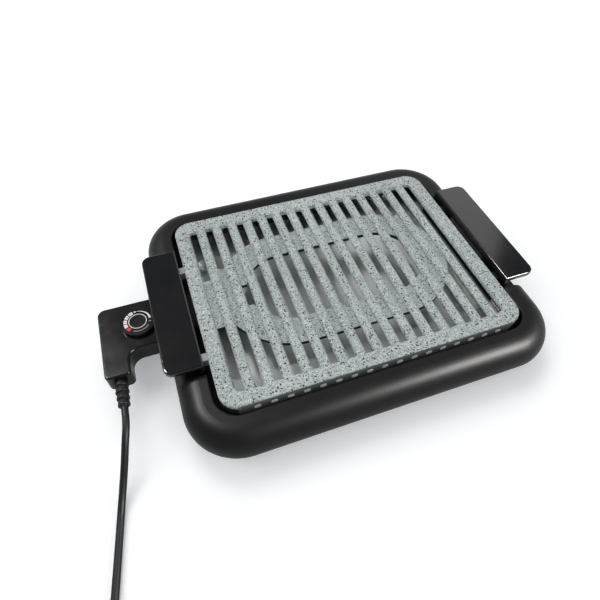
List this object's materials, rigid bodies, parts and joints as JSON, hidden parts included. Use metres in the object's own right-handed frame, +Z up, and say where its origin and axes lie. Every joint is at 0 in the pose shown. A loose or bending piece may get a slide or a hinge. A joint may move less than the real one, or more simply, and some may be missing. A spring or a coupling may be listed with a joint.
{
  "type": "electric table grill",
  "caption": "Countertop electric grill: black ring base, drip tray, slotted stone-coated plate over a heating loop, flap handles and a plug-in thermostat control with its lead.",
  "frame": {"origin": "on the table under the middle of the base", "axes": "+X along the long side away from the control, +Y to the far side, +Z up"},
  "size_m": [0.6108, 0.5986, 0.0644],
  "materials": {
    "base_plastic": "satin black moulding with a fine grain",
    "gloss_black": "gloss black",
    "stone_coating": "cast, coated pale grey with dark and light specks",
    "tray_aluminium": "pressed sheet, bare",
    "cast_aluminium": "as cast",
    "element_steel": "dull, heat-darkened",
    "bright_steel": "bright",
    "screw_steel": "zinc plated",
    "white_ceramic": "unglazed",
    "control_black": "semi-gloss black",
    "block_phenolic": "brown phenolic",
    "brass": "rolled",
    "soft_black": "soft black",
    "rubber": "matte black",
    "pin_metal": "nickel plated",
    "dial_print": "black with printed marks"
  },
  "bodies": {
    "base": {"base_shell": "base_plastic", "bottom_cover": "base_plastic", "bottom_screws": "screw_steel", "foot_front_left": "rubber", "foot_front_right": "rubber", "foot_rear_left": "rubber", "foot_rear_right": "rubber"},
    "tray": {"drip_tray": "tray_aluminium"},
    "plate": {"grill_plate": "stone_coating", "heating_element": "element_steel", "element_clamps": "cast_aluminium", "clamp_screws": "screw_steel", "terminal_pin_front": "bright_steel", "terminal_pin_rear": "bright_steel", "insulator_front": "white_ceramic", "insulator_rear": "white_ceramic", "left_handle": "gloss_black", "right_handle": "gloss_black", "left_front_spacer": "bright_steel", "left_rear_spacer": "bright_steel", "right_front_spacer": "bright_steel", "right_rear_spacer": "bright_steel", "left_handle_screws": "screw_steel", "right_handle_screws": "screw_steel", "handle_nuts": "screw_steel", "terminal_guard": "control_black"},
    "control": {"control_lower_housing": "control_black", "control_upper_housing": "control_black", "housing_screws": "screw_steel", "contact_block": "block_phenolic", "contact_front": "brass", "contact_rear": "brass", "temperature_probe": "bright_steel", "switch_block": "white_ceramic", "contact_blade": "brass", "bimetal_blade": "brass", "strain_relief": "soft_black", "power_cord": "soft_black", "cord_coil": "soft_black", "cord_tail": "soft_black", "cord_tie": "soft_black", "plug_body": "soft_black", "plug_pins": "pin_metal"},
    "dial": {"dial_knob": "control_black", "dial_face": "dial_print", "dial_shaft": "bright_steel"}
  },
  "joints": [
    {"name": "tray_lift", "type": "slide", "parent": "base", "child": "tray", "axis": [0, 0, 1], "range_m": [0, 0.1]},
    {"name": "plate_lift", "type": "slide", "parent": "tray", "child": "plate", "axis": [0, 0, 1], "range_m": [0, 0.1]},
    {"name": "control_unplug", "type": "slide", "parent": "plate", "child": "control", "axis": [-1, 0, 0], "range_m": [0, 0.105]},
    {"name": "dial_turn", "type": "hinge", "parent": "control", "child": "dial", "pos_m": [-0.23, -0.003, 0.055], "axis": [0, 0, 1], "range_deg": [-270, 0]}
  ]
}
